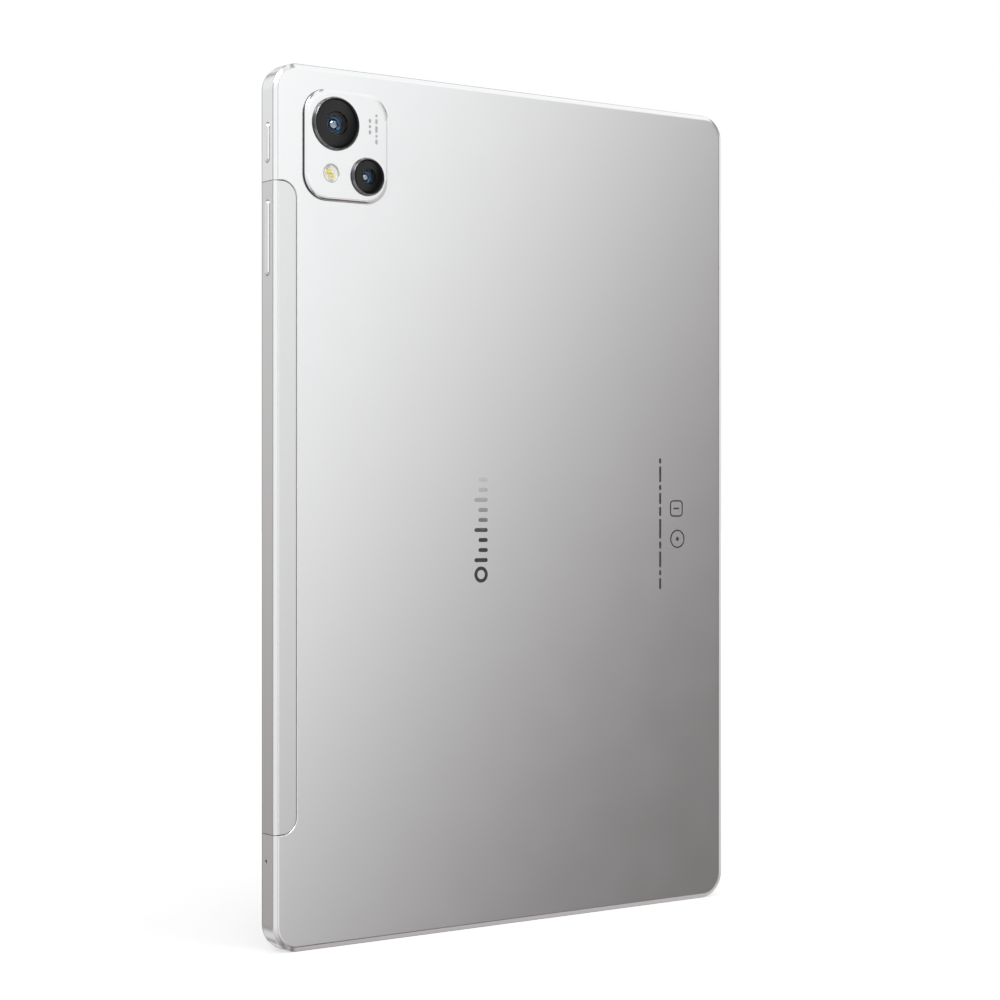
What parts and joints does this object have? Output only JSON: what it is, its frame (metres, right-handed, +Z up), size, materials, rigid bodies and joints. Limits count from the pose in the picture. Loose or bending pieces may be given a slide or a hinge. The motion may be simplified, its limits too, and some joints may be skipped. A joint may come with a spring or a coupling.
{
  "type": "tablet computer",
  "caption": "Slim metal-backed tablet computer with a glass screen, raised rear camera island, plastic antenna window, side keys, card tray and charging socket.",
  "frame": {"origin": "middle of the bottom short edge, half-way through the flat body", "axes": "+Z up along the long side, +Y out of the metal back, so the screen faces -Y, +X towards the long side with the keys"},
  "size_m": [0.1581, 0.0096, 0.2388],
  "materials": {
    "satin_aluminium": "fine bead-blasted and anodised silver, with bright cut edges",
    "silver_plastic": "painted silver to match the metal, a shade darker",
    "black_plastic": "fine matt",
    "cover_glass": "polished, over a black border and a dark screen",
    "lens_glass": "polished, coated dark glass",
    "dark_ring": "turned, dark anodised, with a bright cut edge",
    "flash_lens": "clear, faceted",
    "display": "smooth, dark when off",
    "light_guide": "milky, smooth",
    "steel": "pressed sheet and turned parts",
    "board": "green solder mask",
    "chip": "moulded black",
    "cell": "dark laminated pouch",
    "tape": "double-sided adhesive tape",
    "polyimide": "amber film",
    "graphite": "dull film",
    "pad": "soft, dull"
  },
  "bodies": {
    "body": {"rear_housing": "satin_aluminium", "antenna_window": "silver_plastic", "display_frame": "black_plastic", "front_glass": "cover_glass", "glass_adhesive": "tape", "lcd_panel": "display", "light_guide": "light_guide", "backlight_tray": "steel", "display_flex": "polyimide", "camera_island": "satin_aluminium", "main_lens_ring": "dark_ring", "main_lens_glass": "lens_glass", "second_lens_ring": "dark_ring", "second_lens_glass": "lens_glass", "flash_lens": "flash_lens", "flash_led": "light_guide", "main_camera_holder": "black_plastic", "second_camera": "black_plastic", "camera_flex": "polyimide", "front_camera": "black_plastic", "power_switch": "steel", "volume_up_switch": "steel", "volume_down_switch": "steel", "key_flex": "polyimide", "key_bracket": "steel", "main_board": "board", "processor_chip": "chip", "memory_chip": "chip", "power_chip": "chip", "thermal_pad": "pad", "processor_shield": "steel", "radio_shield": "steel", "graphite_sheet": "graphite", "usb_board": "board", "usb_shell": "steel", "usb_tongue": "black_plastic", "ribbon_cable": "polyimide", "battery_cell_left": "cell", "battery_cell_right": "cell", "battery_tape_left": "tape", "battery_tape_right": "tape", "battery_board": "board", "battery_lead": "polyimide", "sim_socket": "steel", "speaker_bottom": "black_plastic", "speaker_top": "black_plastic", "microphone": "steel", "wifi_antenna": "polyimide", "mobile_antenna": "polyimide", "antenna_cable": "chip", "board_screw_1": "steel", "board_screw_2": "steel", "usb_board_screw_1": "steel", "usb_board_screw_2": "steel"},
    "power_key": {"power_button": "satin_aluminium"},
    "volume_key": {"volume_rocker": "satin_aluminium"},
    "card_tray": {"sim_tray": "satin_aluminium"},
    "ejector_rod": {"eject_rod": "steel"},
    "ejector_lever": {"eject_lever": "steel"},
    "focus_lens": {"main_lens_barrel": "chip"}
  },
  "joints": [
    {"name": "power_press", "type": "slide", "parent": "body", "child": "power_key", "axis": [-1, 0, 0], "range_m": [0, 0.00025], "stiffness_N_per_m": 2500, "springref_m": -0.0004},
    {"name": "volume_rock", "type": "hinge", "parent": "body", "child": "volume_key", "pos_m": [0.0788, 0.00025, 0.19175], "axis": [0, 1, 0], "range_deg": [-1.1, 1.1], "stiffness_Nm_per_rad": 0.7},
    {"name": "tray_slide", "type": "slide", "parent": "body", "child": "card_tray", "axis": [-1, 0, 0], "range_m": [0, 0.0295]},
    {"name": "eject_push", "type": "slide", "parent": "body", "child": "ejector_rod", "axis": [1, 0, 0], "range_m": [0, 0.0012]},
    {"name": "eject_lever_turn", "type": "hinge", "parent": "body", "child": "ejector_lever", "pos_m": [-0.0482, 0.0002, 0.2173], "axis": [0, 1, 0], "range_deg": [0, 14.8]},
    {"name": "focus_slide", "type": "slide", "parent": "body", "child": "focus_lens", "axis": [0, 1, 0], "range_m": [0, 0.00025], "stiffness_N_per_m": 20}
  ],
  "couplings": [
    {"joint": "eject_lever_turn", "follows": "eject_push", "rad_per_m": 213}
  ]
}
